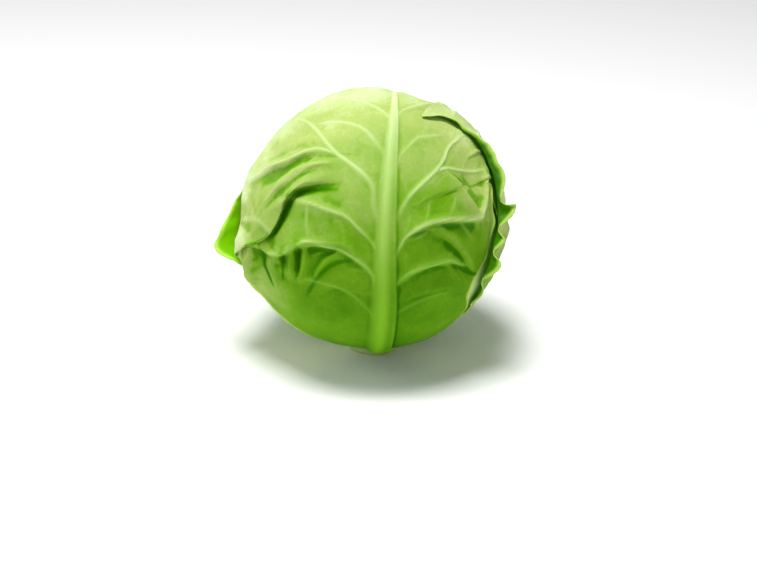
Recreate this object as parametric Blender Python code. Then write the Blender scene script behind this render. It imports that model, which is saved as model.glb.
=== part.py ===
"""A head of green cabbage, standing on the cut face of its stem.

The head is a tight heart with four wrapper leaves laid over it one after the other, each springing from
the stem. A leaf is laid out flat first, in degrees of arc on the ball, with its midrib along y and its base
towards the stem. Its rows run along its side veins, so that the veins are edges of the mesh. Then it is
draped over what lies under it.
"""

import math

import bpy
import numpy as np
from mathutils import Vector
from mathutils.bvhtree import BVHTree

MM = 0.001

# Driving dimensions.
HEART_RADIUS = 76.5 * MM
CENTRE_HEIGHT = 81.0 * MM  # of the middle of the ball, above the surface that the stem stands on
STEM_RADIUS = 17.0 * MM
STEM_HEIGHT = 9.5 * MM
STEM_CHAMFER = 1.2 * MM
BASE_ARC = 14.2  # degrees from the stem's axis to where a leaf begins
BLADE = 1.2 * MM  # thickness of a leaf between its veins
GAP = 0.45 * MM  # between one piece and the next

# The leaf's flat layout, in degrees.
LEAF_POLAR = 80.0  # from the top of the head to the middle of a leaf
BASE_Y = LEAF_POLAR + BASE_ARC - 180.0
ARC_LENGTH = math.radians(1.0) * 82.0 * MM  # of a degree on the ball

# Mesh fineness.
ROWS_PER_VEIN = 3
COLUMNS = (0.0, 0.08, 0.17, 0.27, 0.38, 0.5, 0.62, 0.74, 0.86, 1.0)  # from the midrib's edge to the margin
LAP_ROWS = (-0.12, 0.12)  # extra rows beside a lap
HEART_ROWS, HEART_COLUMNS = 26, 44
STEM_SIDES = 28

GREEN_TOP = (0.42, 0.60, 0.18)
GREEN_MID = (0.30, 0.50, 0.10)
GREEN_DEEP = (0.20, 0.42, 0.06)
CREAM = (0.80, 0.82, 0.60)

CENTRE = np.array((0.0, 0.0, CENTRE_HEIGHT))

# Half a leaf, from its base edge over its side veins to its tip edge. Each row is a vein: where it leaves
# the midrib, how far it climbs, how soon it levels off, its slope down beyond 38 degrees, how far it
# reaches, and how much it stands out as a ridge, from 0 to 1.
FRONT_LEFT = (
    (BASE_Y, -2, 8, 0, 15, 0),
    (-64, 14, 14, 0.2, 54, 0.6),
    (-42, 20, 12, 0.6, 74, 0.8),
    (-24, 29, 13, 0.75, 80, 1),
    (-8, 31, 14, 1.0, 90, 0.7),
    (2, 40, 17, 1.2, 96, 0),
    (7, 50, 24, 0.5, 98, 0.4),
    (12, 68, 34, 0.2, 97, 1),
    (42, 24, 12, -0.2, 92, 1),
    (64, 24, 14, 0, 78, 0.9),
    (86, 18, 14, 0.1, 60, 0.6),
    (110, 0, 20, 0.3, 38, 0),
)
FRONT_RIGHT = (
    (BASE_Y, -2, 8, 0, 15, 0),
    (-62, 14, 14, 0.1, 46, 0.5),
    (-38, 14, 12, 0.1, 38, 0.7),
    (-17, 11, 8, 0.1, 55, 0.9),
    (1, 10, 8, 0, 61, 0.8),
    (5, 24, 16, 0, 62, 0),
    (9, 36, 24, 0, 64, 0),
    (13, 48, 30, 0, 66, 1),
    (42, 22, 14, 0, 74, 0.8),
    (60, 22, 16, 0, 70, 0.9),
    (84, 14, 14, 0.1, 52, 0.6),
    (110, 0, 20, 0.3, 30, 0),
)
RIGHT_FORWARD = (
    (BASE_Y, -2, 8, 0, 16, 0),
    (-62, 14, 16, 0.1, 58, 0.6),
    (-46, 20, 16, 0.2, 68, 1),
    (-30, 22, 18, 0.15, 66, 1),
    (-12, 20, 18, 0.15, 53, 1),
    (2, 24, 18, 0, 40, 1),
    (15, 25, 16, 0, 32, 1),
    (28, 27, 14, 0, 23, 0.7),
    (40, 24, 10, 0, 21, 0),
)
RIGHT_BACK = (
    (BASE_Y, -2, 8, 0, 16, 0),
    (-64, 16, 16, 0.1, 44, 0.6),
    (-46, 24, 16, 0.2, 70, 1),
    (-28, 26, 18, 0.25, 84, 1),
    (-12, 26, 20, 0.25, 88, 1),
    (4, 24, 20, 0.25, 84, 1),
    (16, 16, 18, 0.25, 72, 1),
    (29, 6, 16, 0.2, 56, 0.7),
    (42, -4, 20, 0.1, 38, 0),
)
LEFT_FORWARD = (
    (BASE_Y, -2, 8, 0, 16, 0),
    (-62, 12, 16, 0.1, 54, 0.6),
    (-46, 14, 16, 0.1, 52, 1),
    (-32, 16, 18, 0.1, 53, 1),
    (-19, 18, 18, 0.1, 47, 1),
    (-8, 18, 16, 0, 34, 1),
    (3, 16, 14, 0, 19, 1),
    (13, 10, 10, 0, 11, 0.7),
    (24, 2, 8, 0, 8, 0),
)
LEFT_BACK = (
    (BASE_Y, -2, 8, 0, 16, 0),
    (-64, 16, 16, 0.1, 46, 0.6),
    (-46, 24, 16, 0.2, 66, 1),
    (-31, 24, 18, 0.25, 78, 1),
    (-17, 24, 20, 0.25, 82, 1),
    (-5, 18, 20, 0.25, 78, 1),
    (6, 12, 18, 0.2, 66, 1),
    (15, 5, 16, 0.15, 50, 0.7),
    (26, -4, 16, 0.1, 34, 0),
)
BACK_HALF = (
    (BASE_Y, -2, 8, 0, 15, 0),
    (-62, 14, 14, 0.1, 40, 0.6),
    (-44, 20, 14, 0.2, 72, 1),
    (-26, 26, 18, 0.25, 92, 1),
    (-8, 28, 20, 0.25, 98, 1),
    (10, 30, 22, 0.25, 96, 1),
    (28, 26, 18, 0.3, 88, 1),
    (48, 16, 14, 0.3, 72, 0.7),
    (70, 2, 20, 0.35, 50, 0),
)

# A flare lifts the margin of one side off the head: the vein row it is on, its spread in rows, and its
# height. A lap is a pleat along a row of the left half: the leaf above that row is drawn over the leaf
# below it.
LEAVES = (
    {
        "name": "back_leaf",
        "azimuth": 176.0,
        "left": BACK_HALF,
        "right": BACK_HALF,
        "colour": GREEN_MID,
        "seed": 3,
        "bow": (2.0, -5.0),
        "ruffle": (1.6, 1.6),
        "flares": {-1: (), 1: ()},
    },
    {
        "name": "front_leaf",
        "azimuth": 8.0,
        "left": FRONT_LEFT,
        "right": FRONT_RIGHT,
        "colour": GREEN_TOP,
        "seed": 11,
        "bow": (-3.0, 19.0),
        "ruffle": (1.4, 1.2),
        "flares": {-1: ((2.0, 0.5, 3.0 * MM),), 1: ((2.5, 0.5, 2.0 * MM),)},
        "lap": 5,
    },
    {
        "name": "left_leaf",
        "azimuth": -134.0,
        "left": LEFT_BACK,
        "right": LEFT_FORWARD,
        "colour": GREEN_DEEP,
        "seed": 23,
        "bow": (0.0, 0.0),
        "ruffle": (1.8, 0.4),
        "flares": {-1: ((5.5, 1.2, 3.0 * MM),), 1: ((3.5, 0.6, 11.0 * MM),)},
    },
    {
        "name": "right_leaf",
        "azimuth": 128.0,
        "left": RIGHT_FORWARD,
        "right": RIGHT_BACK,
        "colour": GREEN_DEEP,
        "seed": 37,
        "bow": (0.0, 0.0),
        "ruffle": (0.3, 1.8),
        "flares": {
            -1: ((6.6, 1.4, 2.0 * MM), (4.7, 0.7, 5.0 * MM), (3.8, 0.3, 8.5 * MM), (2.9, 0.5, 8.0 * MM)),
            1: ((4.5, 1.4, 3.0 * MM),),
        },
    },
)

LAP_OVERLAP = 3.8 * MM
LAP_WIDTH = 3.6 * MM
LAP_HEIGHT = 3.8 * MM
LAP_DECAY = 24.0 * MM
FLARE_DEPTH = 15.0 * MM  # how far in from the margin a flare begins
RUFFLE_DEPTH = 14.0 * MM


def smooth(low, high, x):
    """0 below low, 1 above high, and a smooth step between."""
    t = np.clip((x - low) / (high - low), 0.0, 1.0)
    return t * t * (3.0 - 2.0 * t)


def through(values, at):
    """A smooth curve through evenly spaced values (rows of an array), read at fractional positions."""
    values = np.asarray(values, float)
    last = len(values) - 1
    i = np.clip(np.floor(at).astype(int), 0, last - 1)
    f = (at - i).reshape(at.shape + (1,) * (values.ndim - 1))
    before, here, there, after = (values[np.clip(i + k, 0, last)] for k in (-1, 0, 1, 2))
    bend = 2 * before - 5 * here + 4 * there - after
    twist = 3 * (here - there) + after - before
    return here + 0.5 * f * (there - before + f * (bend + f * twist))


def swell(points, seed, wavelength):
    """Soft, seeded unevenness from about -1 to 1, over points in space."""
    draw = np.random.default_rng(seed)
    waves = draw.normal(size=(7, 3)) * (2 * math.pi / wavelength) * 0.6
    phases = draw.uniform(0, 2 * math.pi, 7)
    return np.sin(points @ waves.T + phases).mean(axis=-1) * 1.8


def leaf_axes(azimuth, polar=LEAF_POLAR):
    """The direction of the middle of a leaf, and the leaf's own right and up there."""
    a, p = math.radians(azimuth), math.radians(polar)
    outward = np.array((math.sin(a), -math.cos(a), 0.0))
    middle = math.sin(p) * outward + math.cos(p) * np.array((0.0, 0.0, 1.0))
    up = -math.cos(p) * outward + math.sin(p) * np.array((0.0, 0.0, 1.0))
    right = np.array((math.cos(a), math.sin(a), 0.0))
    return middle, right, up


def direction(axes, x, y):
    """Unit vectors from the centre of the ball to points of a leaf's flat layout, in degrees."""
    middle, right, up = axes
    arc = np.radians(np.hypot(x, y))
    turn = np.arctan2(y, x)
    side = np.cos(turn)[..., None] * right + np.sin(turn)[..., None] * up
    return np.cos(arc)[..., None] * middle + np.sin(arc)[..., None] * side


def midrib(y):
    """Half width and height (m) of the midrib at a place along it."""
    along = (y - BASE_Y) / 200.0
    width = np.maximum(8.6 - 7.8 * along, 1.5) * MM
    height = (4.2 * np.exp(-along * 3.0) + 0.7) * MM
    return width, height


def lay_out(leaf, row, share):
    """Where a leaf's mesh lies flat: x and y, metres to the margin, and the height of its crest.

    A share runs from 0 at the middle, over 0.5 and 1 at the midrib's edge, to 2 at the margin, and is
    negative left.
    """
    left, right = (through(leaf[side], row) for side in ("left", "right"))
    half = np.where((share < 0)[..., None], left, right)
    middle = 0.5 * (left[..., 0] + right[..., 0])
    start, climb, run, slope, reach, crest = np.moveaxis(half, -1, 0)
    width = midrib(middle)[0] / ARC_LENGTH
    out = width * np.minimum(np.abs(share), 1.0) + (reach - width) * np.maximum(np.abs(share) - 1.0, 0.0)
    start = middle + (start - middle) * smooth(0.0, 6.0, out)
    beyond = np.maximum(out - width * 0.6, 0.0)
    y = start + climb * (1 - np.exp(-beyond / run)) - slope * 8.0 * np.log1p(np.exp((out - 38.0) / 8.0))
    start, bend = leaf["bow"]
    bow = start + bend * (np.clip(y + 10.0, 0.0, 110.0) / 97.0) ** 2.2
    return np.sign(share) * out + bow, y, (reach - out) * ARC_LENGTH, crest


def line_distance(line, x, y):
    """How far (m) points are above a line that runs leftwards, how far along it, and its normal there."""
    tangent = np.gradient(line, axis=0)
    tangent /= np.linalg.norm(tangent, axis=1)[:, None]
    away = np.stack((x, y), -1)[..., None, :] - line
    nearest = np.argmin((away**2).sum(-1), axis=-1)
    offset = np.take_along_axis(away, nearest[..., None, None], axis=-2)[..., 0, :]
    normal = np.stack((tangent[nearest, 1], -tangent[nearest, 0]), -1)
    return (offset * normal).sum(-1) * ARC_LENGTH, nearest / (len(line) - 1.0), normal


def relief(leaf, row, share, x, y, edge, crest):
    """Height of the sheet over what it lies on, and extra thickness at its ribs, in metres."""
    apart = np.gradient(y, axis=0) / np.gradient(row, axis=0)
    veins = len(leaf["left"]) - 1
    out = np.abs(x) * ARC_LENGTH
    width, height = midrib(y)
    lower = smooth(0.05, 0.25, row / veins)
    on_vein = crest * (0.5 + 0.5 * np.cos(2 * math.pi * row))
    ribbed = lower * smooth(0.6, 1.6, out / width) * np.clip(apart / 14.0, 0.0, 1.0)
    sheet = 1.3 * MM * on_vein * ribbed * (0.35 + 0.65 * smooth(0.0, 18.0 * MM, edge))
    sheet += 0.8 * MM * (1 + swell(np.stack((x, y, 0 * x), -1), leaf["seed"], 52.0)) * lower
    rib = height * (1 - smooth(0.4, 1.0, np.abs(share)))
    rib += 0.8 * MM * np.clip(on_vein * 2 - 1, 0, 1) * ribbed * np.exp(-out / (60 * MM))
    rim = (1 - smooth(0.0, RUFFLE_DEPTH, edge)) * lower
    ruffle = np.where(share < 0, leaf["ruffle"][0], leaf["ruffle"][1]) * MM
    sheet += ruffle * rim * (1 + np.sin(2 * math.pi * (row * 1.35 + 0.13 * leaf["seed"])))
    for side, flares in leaf["flares"].items():
        for at, spread, lift in flares:
            along = np.exp(-(((row - at) / spread) ** 2)) * (np.sign(share) == side)
            sheet += lift * along * (1 - smooth(0.0, FLARE_DEPTH, edge)) ** 1.5
    return sheet, rib


def pleat(leaf, x, y, sheet):
    """Draws the leaf above a lap over the leaf below it."""
    if "lap" not in leaf:
        return x, y, sheet
    shares = np.linspace(-1.14, -2.0, 90)
    line = np.stack(lay_out(leaf, np.full(90, float(leaf["lap"])), shares)[:2], -1)
    above, along, normal = line_distance(line, x, y)
    drawn, raised = smooth(0.06, 0.4, along), smooth(0.0, 0.22, along)
    shift = -LAP_OVERLAP * above / LAP_WIDTH * np.exp(0.5 - 0.5 * (above / LAP_WIDTH) ** 2)
    step = 0.5 * (1 + np.tanh(above / (0.4 * LAP_WIDTH)))
    lift = LAP_HEIGHT * step * np.exp(-np.maximum(above, 0.0) / LAP_DECAY)
    moved = (shift * drawn / ARC_LENGTH)[..., None] * normal
    return x + moved[..., 0], y + moved[..., 1], sheet + lift * raised


def depth(under, rays):
    """Distance from the centre to the outside of what lies under a leaf, along each of some rays."""
    radius = np.empty(rays.shape[:-1])
    for index in np.ndindex(radius.shape):
        ray = Vector(rays[index])
        hit = under.ray_cast(Vector(CENTRE) + ray * 0.2, -ray)[0]
        radius[index] = HEART_RADIUS if hit is None else (hit - Vector(CENTRE)).length
    return radius


def drape(axes, under, reach=129.0, step=3.0):
    """The distance from the centre to a smooth sheet over what lies under a leaf, read at flat x and y."""
    ticks = np.arange(-reach, reach + step, step)
    radius = depth(under, direction(axes, *np.meshgrid(ticks, ticks)))
    size = len(ticks)
    for blend in (np.max, np.mean, np.mean):
        padded = np.pad(radius, 1, mode="edge")
        radius = blend([padded[i : i + size, j : j + size] for i in range(3) for j in range(3)], axis=0)

    def read(x, y):
        fx, fy = (np.clip((v + reach) / step, 0, size - 1.001) for v in (x, y))
        ix, iy = fx.astype(int), fy.astype(int)
        tx, ty = fx - ix, fy - iy
        near = radius[iy, ix] * (1 - tx) + radius[iy, ix + 1] * tx
        far = radius[iy + 1, ix] * (1 - tx) + radius[iy + 1, ix + 1] * tx
        return near * (1 - ty) + far * ty

    return read


def outer_samples(points, triangles, under):
    """Directions and distances of the corners and edges on the outside of what lies under a leaf."""
    sides = np.array(triangles)[:, ((0, 1), (1, 2), (2, 0))].reshape(-1, 2)
    edges = np.unique(np.sort(sides, axis=1), axis=0)
    steps = np.array((0.0, 0.25, 0.5, 0.75))[:, None, None]
    away = (points[edges[:, 0]] * (1 - steps) + points[edges[:, 1]] * steps).reshape(-1, 3) - CENTRE
    length = np.linalg.norm(away, axis=1)
    rays = away / length[:, None]
    outside = depth(under, rays) < length + 0.05 * MM
    return rays[outside], length[outside]


def settle(points, triangles, under, below, rounds=7):
    """Moves a leaf's inner points outwards until its flat faces clear what lies under them by a gap."""
    corners = np.array(triangles)
    mix = np.array([(i, j, 4 - i - j) for i in range(5) for j in range(5 - i)]) / 4.0
    away = points - CENTRE
    radius = np.linalg.norm(away, axis=1)
    rays = away / radius[:, None]
    for _ in range(rounds):
        raised = np.zeros(len(radius))
        samples = np.einsum("mk,tkc->tmc", mix, (rays * radius[:, None])[corners])
        length = np.linalg.norm(samples, axis=-1)
        short = GAP - (length - depth(under, samples / length[..., None]))
        needed = np.maximum(short, 0.0)[..., None] * (mix > 0)
        np.maximum.at(raised, corners.reshape(-1), needed.max(axis=1).reshape(-1))
        sheet = BVHTree.FromPolygons([Vector(p) for p in rays * radius[:, None]], triangles)
        for ray, length in zip(*below):
            _, _, index, distance = sheet.ray_cast(Vector(), Vector(ray))
            if index is not None and distance < length + GAP:
                for corner in triangles[index]:
                    raised[corner] = max(raised[corner], length + GAP - distance)
        if raised.max() < 0.02 * MM:
            break
        radius = radius + raised
    return CENTRE + rays * radius[:, None]


def face_normals(points):
    """Outward unit normals of a grid of points."""
    along = np.gradient(points, axis=0)
    across = np.gradient(points, axis=1)
    normals = np.cross(across, along)
    return normals / np.linalg.norm(normals, axis=-1, keepdims=True)


def faces(rows, columns):
    """Triangles of a grid of points, every row one after the other, seen from outside."""
    triangles = []
    for i in range(rows - 1):
        for j in range(columns - 1):
            a, d = i * columns + j, (i + 1) * columns + j
            b, c = a + 1, d + 1
            triangles += [(a, b, c), (a, c, d)] if j >= columns // 2 else [(a, b, d), (b, c, d)]
    return triangles


def closed_sheet(inner, outer):
    """Vertices and triangles of the solid between two grids of points, split alike on both faces."""
    rows, columns = inner.shape[:2]
    index = np.arange(rows * columns).reshape(rows, columns)
    shift = rows * columns
    triangles = []
    for one, two, three in faces(rows, columns):
        triangles += [(one + shift, two + shift, three + shift), (three, two, one)]
    ring = [*index[0, :-1], *index[:-1, -1], *index[-1, :0:-1], *index[:0:-1, 0]]
    ring = [int(i) for i in ring]
    for here, there in zip(ring, ring[1:] + ring[:1]):
        triangles += [(here, there, there + shift), (here, there + shift, here + shift)]
    return np.concatenate((inner.reshape(-1, 3), outer.reshape(-1, 3))), triangles


def make_leaf(leaf, laid_points, laid_triangles):
    """One wrapper leaf, draped over what is under it."""
    under = BVHTree.FromPolygons([Vector(p) for p in laid_points], laid_triangles)
    below = outer_samples(laid_points, laid_triangles, under)
    axes = leaf_axes(leaf["azimuth"])
    veins = len(leaf["left"]) - 1
    rows = list(np.linspace(0, veins, veins * ROWS_PER_VEIN + 1))
    if "lap" in leaf:
        rows = sorted(rows + [leaf["lap"] + beside for beside in LAP_ROWS])
    half = [0.0, 0.5] + [1 + c for c in COLUMNS]
    row, share = np.meshgrid(rows, [-c for c in half[:0:-1]] + half, indexing="ij")
    x, y, edge, crest = lay_out(leaf, row, share)
    sheet, rib = relief(leaf, row, share, x, y, edge, crest)
    x, y, sheet = pleat(leaf, x, y, sheet)
    radius = drape(axes, under)(x, y) + GAP + sheet
    inner = CENTRE + direction(axes, x, y) * radius[..., None]
    inner = settle(inner.reshape(-1, 3), faces(*row.shape), under, below).reshape(inner.shape)
    outer = inner + face_normals(inner) * (BLADE + rib)[..., None]
    return closed_sheet(inner, outer)


def make_heart():
    """The tight inner head: a ball, flatter below, with its own leaves' margins raised in long steps."""
    rows = np.linspace(0, math.pi, HEART_ROWS + 1)[1:-1]
    turns = np.arange(HEART_COLUMNS) * 2 * math.pi / HEART_COLUMNS
    polar, turn = np.meshgrid(rows, turns, indexing="ij")
    rays = np.stack((np.sin(polar) * np.sin(turn), -np.sin(polar) * np.cos(turn), np.cos(polar)), -1)
    poles = np.array(((0, 0, 1.0), (0, 0, -1.0)))
    rays = np.concatenate((rays.reshape(-1, 3), poles))
    height = rays[:, 2]
    radius = HEART_RADIUS * (1 - 0.05 * smooth(0.7, 1.0, -height) - 0.015 * smooth(0.7, 1.0, height))
    for lean, turn_at in ((24.0, 40.0), (30.0, 160.0), (20.0, 285.0)):
        axis = leaf_axes(turn_at, lean)[0]
        ring = rays @ axis
        radius -= 1.4 * MM * (1 - smooth(0.0, 0.5, ring - 0.25)) * smooth(0.2, 0.25, ring)
    points = CENTRE + rays * radius[:, None]
    points[:, 2] = np.maximum(points[:, 2], STEM_HEIGHT + GAP)
    count = len(rows) * HEART_COLUMNS
    index = np.arange(count).reshape(len(rows), HEART_COLUMNS)
    triangles = []
    for j in range(HEART_COLUMNS):
        k = (j + 1) % HEART_COLUMNS
        triangles.append((count, index[0, j], index[0, k]))
        triangles.append((count + 1, index[-1, k], index[-1, j]))
        for i in range(len(rows) - 1):
            a, b, c, d = index[i, j], index[i + 1, j], index[i + 1, k], index[i, k]
            triangles += [(a, b, c), (a, c, d)]
    return points, triangles


def make_stem():
    """The cut stump: a short stalk with a flat, chamfered cut face and the scars of trimmed leaves."""
    profile = (
        (STEM_RADIUS - STEM_CHAMFER, 0.0),
        (STEM_RADIUS, STEM_CHAMFER),
        (STEM_RADIUS * 0.975, STEM_HEIGHT * 0.5),
        (STEM_RADIUS * 0.93, STEM_HEIGHT),
    )
    turns = np.arange(STEM_SIDES) * 2 * math.pi / STEM_SIDES
    scars = 1 + 0.022 * np.cos(5 * turns + 0.6)
    rings = []
    for radius, height in profile:
        around = radius * scars * np.cos(turns), radius * scars * np.sin(turns)
        rings.append(np.stack((*around, np.full(STEM_SIDES, height)), -1))
    points = np.concatenate(rings + [np.array(((0, 0, 0.0), (0, 0, STEM_HEIGHT)))])
    bottom, top = len(points) - 2, len(points) - 1
    triangles = []
    for j in range(STEM_SIDES):
        k = (j + 1) % STEM_SIDES
        last = (len(profile) - 1) * STEM_SIDES
        triangles += [(bottom, k, j), (top, last + j, last + k)]
        for i in range(len(profile) - 1):
            low, high = i * STEM_SIDES, (i + 1) * STEM_SIDES
            triangles += [(low + j, low + k, high + k), (low + j, high + k, high + j)]
    return points, triangles


def material(name, colour, roughness=0.5):
    made = bpy.data.materials.new(name)
    made.use_nodes = True
    shader = made.node_tree.nodes["Principled BSDF"]
    shader.inputs["Base Color"].default_value = (*colour, 1.0)
    shader.inputs["Roughness"].default_value = roughness
    shader.inputs["Metallic"].default_value = 0.0
    return made


def add_object(name, points, triangles, colour):
    mesh = bpy.data.meshes.new(name)
    mesh.from_pydata([tuple(map(float, p)) for p in points], [], [tuple(map(int, t)) for t in triangles])
    mesh.shade_smooth()
    mesh.set_sharp_from_angle(angle=math.radians(50))
    mesh.materials.append(material(name, colour))
    made = bpy.data.objects.new(name, mesh)
    bpy.context.scene.collection.objects.link(made)
    return made


def main():
    for old in list(bpy.data.objects):
        bpy.data.objects.remove(old)
    points, triangles = make_heart()
    add_object("heart", points, triangles, CREAM)
    add_object("stem", *make_stem(), CREAM)
    laid_points, laid_triangles = points, [tuple(int(i) for i in t) for t in triangles]
    for leaf in LEAVES:
        points, triangles = make_leaf(leaf, laid_points, laid_triangles)
        add_object(leaf["name"], points, triangles, leaf["colour"])
        laid_triangles += [tuple(int(i) + len(laid_points) for i in t) for t in triangles]
        laid_points = np.concatenate((laid_points, points))


main()
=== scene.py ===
import math

import bpy
import numpy as np
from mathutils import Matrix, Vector
from mathutils.bvhtree import BVHTree


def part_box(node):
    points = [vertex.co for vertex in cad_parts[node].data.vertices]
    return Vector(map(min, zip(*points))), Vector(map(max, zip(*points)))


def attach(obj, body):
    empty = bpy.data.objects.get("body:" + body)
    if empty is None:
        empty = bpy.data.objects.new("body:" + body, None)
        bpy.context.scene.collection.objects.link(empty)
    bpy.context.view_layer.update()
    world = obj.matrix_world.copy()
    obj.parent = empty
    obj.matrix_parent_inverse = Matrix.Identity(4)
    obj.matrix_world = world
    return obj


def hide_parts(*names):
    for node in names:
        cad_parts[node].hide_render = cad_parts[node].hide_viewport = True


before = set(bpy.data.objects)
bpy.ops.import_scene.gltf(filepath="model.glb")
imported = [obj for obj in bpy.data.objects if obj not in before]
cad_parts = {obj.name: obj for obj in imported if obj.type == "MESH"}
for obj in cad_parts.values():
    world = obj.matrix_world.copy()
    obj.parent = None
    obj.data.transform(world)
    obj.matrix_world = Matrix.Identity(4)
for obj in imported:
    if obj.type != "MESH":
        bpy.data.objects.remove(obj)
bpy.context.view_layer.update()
mm = 0.001

# the ball that the leaves are wrapped on, from the frame's heart and stem
heartBox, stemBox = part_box("heart"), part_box("stem")
ball = {
    "radius": 76.5 * mm,
    "flatTop": 0.985,  # the heart's top is a little flatter than a ball
    "gap": 0.3 * mm,  # between one leaf and the next
    "leafPolar": 80.0,  # degrees from the top of the head to the middle of a leaf
    "baseArc": 14.2,  # degrees from the stem's axis to where a leaf begins
}
ballCentre = np.array((0.0, 0.0, heartBox[1][2] - ball["radius"] * ball["flatTop"]))
baseY = ball["leafPolar"] + ball["baseArc"] - 180.0
arcLength = math.radians(1.0) * 82.0 * mm  # of one degree on the outer leaves
stemHeight = stemBox[1][2] - stemBox[0][2]
stemRadius = 0.5 * (stemBox[1][0] - stemBox[0][0])


def ease(low, high, x):
    t = np.clip((x - low) / (high - low), 0.0, 1.0)
    return t * t * (3.0 - 2.0 * t)


def through(values, at):  # a smooth curve through evenly spaced values, read at fractional places
    values = np.asarray(values, float)
    last = len(values) - 1
    i = np.clip(np.floor(at).astype(int), 0, last - 1)
    f = (at - i).reshape(at.shape + (1,) * (values.ndim - 1))
    before, here, there, after = (values[np.clip(i + k, 0, last)] for k in (-1, 0, 1, 2))
    bend = 2 * before - 5 * here + 4 * there - after
    twist = 3 * (here - there) + after - before
    return here + 0.5 * f * (there - before + f * (bend + f * twist))


def unevenness(points, size, seed):  # soft seeded noise, -1 to 1, over points in space
    table = np.random.default_rng(seed).uniform(-1.0, 1.0, (16, 16, 16))
    cell = np.floor(points / size).astype(int)
    part = ease(0.0, 1.0, points / size - cell)
    total = 0.0
    for corner in np.ndindex(2, 2, 2):
        share = np.prod(np.where(corner, part, 1.0 - part), axis=-1)
        i, j, k = np.moveaxis((cell + corner) % 16, -1, 0)
        total = total + share * table[i, j, k]
    return total


def blurred(grid, reach):  # a box blur, run twice
    for axis in (0, 1) * 2:
        padded = np.pad(grid, [(reach, reach) if a == axis else (0, 0) for a in (0, 1)], mode="edge")
        sums = np.cumsum(np.insert(padded, 0, 0.0, axis=axis), axis=axis)
        size = grid.shape[axis]
        upper = np.take(sums, range(2 * reach + 1, 2 * reach + 1 + size), axis=axis)
        grid = (upper - np.take(sums, range(size), axis=axis)) / (2 * reach + 1)
    return grid


# A leaf is laid out flat, in degrees of arc on the ball: x to its right, y up its midrib. Each row of a half
# leaf is a side vein: where it leaves the midrib, its climb, how soon it levels off, its slope down beyond 38
# degrees, how far it reaches, and how much it stands out.

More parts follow.
